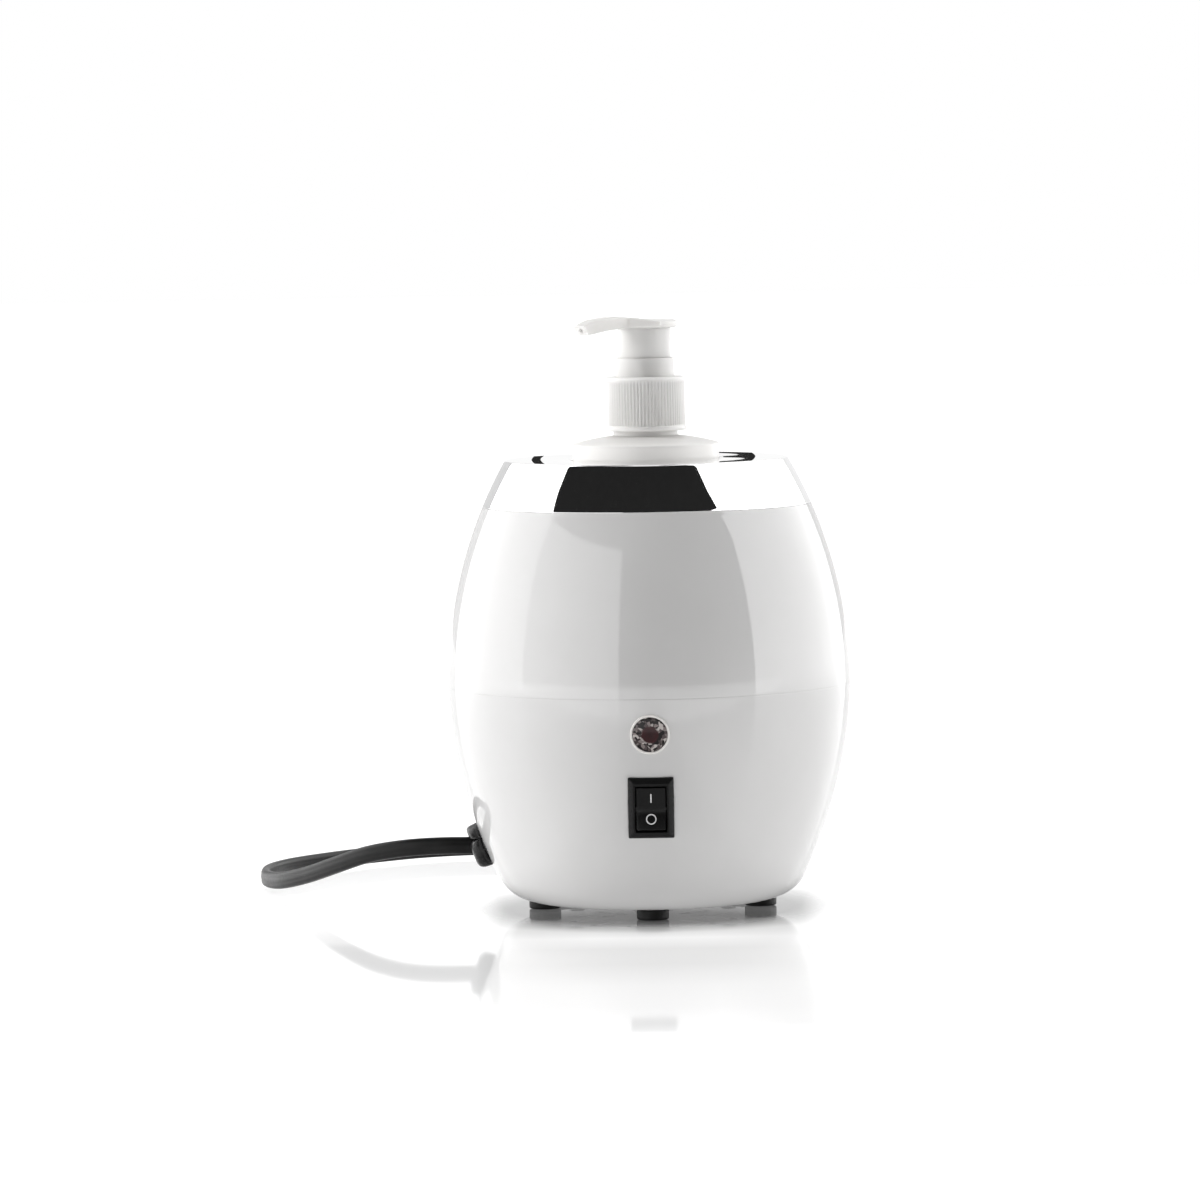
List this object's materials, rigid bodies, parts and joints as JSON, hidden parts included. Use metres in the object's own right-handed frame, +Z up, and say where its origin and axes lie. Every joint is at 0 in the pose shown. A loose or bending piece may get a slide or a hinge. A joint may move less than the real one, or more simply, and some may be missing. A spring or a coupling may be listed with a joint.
{
  "type": "massage oil warmer",
  "caption": "Barrel-shaped electric massage oil warmer with a heated well, chrome mouth ring, rocker switch and a pump bottle.",
  "frame": {"origin": "on the floor under the middle of the body, on its axis", "axes": "+Z up along the axis of the body, front with the switch and lamp towards -Y, cord leaves at -X"},
  "size_m": [0.204, 0.3008, 0.1985],
  "materials": {
    "shell_white": "gloss",
    "chrome": "polished",
    "black_rubber": "matte",
    "black_plastic": "satin",
    "steel": "satin",
    "well_metal": "satin",
    "heater_rubber": "matte",
    "insulation": "matte",
    "brown_phenolic": "matte",
    "brass": "satin",
    "lamp_red": "gloss",
    "clear_plastic": "gloss",
    "neon_glass": "gloss",
    "block_plastic": "satin",
    "brown_wire": "satin",
    "blue_wire": "satin",
    "pale_wire": "satin",
    "bottle_plastic": "satin",
    "pump_white": "satin",
    "seal_grey": "matte"
  },
  "bodies": {
    "base": {"upper_shell": "shell_white", "lower_shell": "shell_white", "chrome_ring": "chrome", "rubber_feet": "black_rubber", "shell_screws": "steel", "well_cup": "well_metal", "heater_band": "heater_rubber", "heater_straps": "steel", "insulation_sleeve": "insulation", "thermostat_body": "brown_phenolic", "thermostat_cap": "steel", "thermostat_bracket": "steel", "thermostat_terminals": "brass", "bracket_nuts": "steel", "thermal_fuse": "steel", "fuse_clip": "steel", "switch_frame": "black_plastic", "switch_terminals": "steel", "lamp_lens": "lamp_red", "lamp_barrel": "clear_plastic", "neon_bulb": "neon_glass", "lamp_clip": "steel", "terminal_block": "block_plastic", "terminal_screws": "brass", "live_core": "brown_wire", "neutral_core": "blue_wire", "live_wire": "brown_wire", "switched_wire": "black_plastic", "thermostat_wire": "black_plastic", "fuse_wire": "black_plastic", "neutral_wire": "blue_wire", "lamp_wires": "pale_wire", "strain_relief": "black_plastic", "strain_wedge": "black_plastic", "cord_lead": "black_rubber", "cord_coil": "black_rubber", "cord_tail": "black_rubber", "cord_tie": "black_plastic", "plug_body": "black_rubber", "plug_pins": "steel"},
    "rocker": {"rocker": "black_plastic"},
    "bottle": {"bottle": "bottle_plastic"},
    "pump": {"pump_housing": "pump_white", "pump_gasket": "seal_grey", "dip_tube": "bottle_plastic", "pump_spring": "steel"},
    "collar": {"pump_collar": "pump_white"},
    "plunger": {"pump_stem": "pump_white", "pump_piston": "seal_grey"},
    "head": {"pump_head": "pump_white"},
    "ball": {"check_ball": "steel"}
  },
  "joints": [
    {"name": "rocker_tilt", "type": "hinge", "parent": "base", "child": "rocker", "pos_m": [0, -0.06173, 0.03959], "axis": [1, 0, 0], "range_deg": [0, 22]},
    {"name": "bottle_lift", "type": "slide", "parent": "base", "child": "bottle", "axis": [0, 0, 1], "range_m": [0, 0.13]},
    {"name": "collar_turn", "type": "hinge", "parent": "pump", "child": "collar", "pos_m": [0, 0, 0.17], "axis": [0, 0, 1], "range_deg": [0, 620]},
    {"name": "pump_lift", "type": "slide", "parent": "bottle", "child": "pump", "axis": [0, 0, 1], "range_m": [0, 0.00476]},
    {"name": "head_press", "type": "slide", "parent": "pump", "child": "plunger", "axis": [0, 0, -1], "range_m": [0, 0.0075], "stiffness_N_per_m": 1200, "springref_m": -0.0003, "deforming": ["pump_spring"]},
    {"name": "head_swivel", "type": "hinge", "parent": "plunger", "child": "head", "pos_m": [0, 0, 0.19], "axis": [0, 0, 1], "continuous": true},
    {"name": "ball_lift", "type": "slide", "parent": "pump", "child": "ball", "axis": [0, 0, 1], "range_m": [0, 0.0015]}
  ],
  "couplings": [
    {"joint": "collar_turn", "follows": "pump_lift", "rad_per_m": 1979}
  ]
}
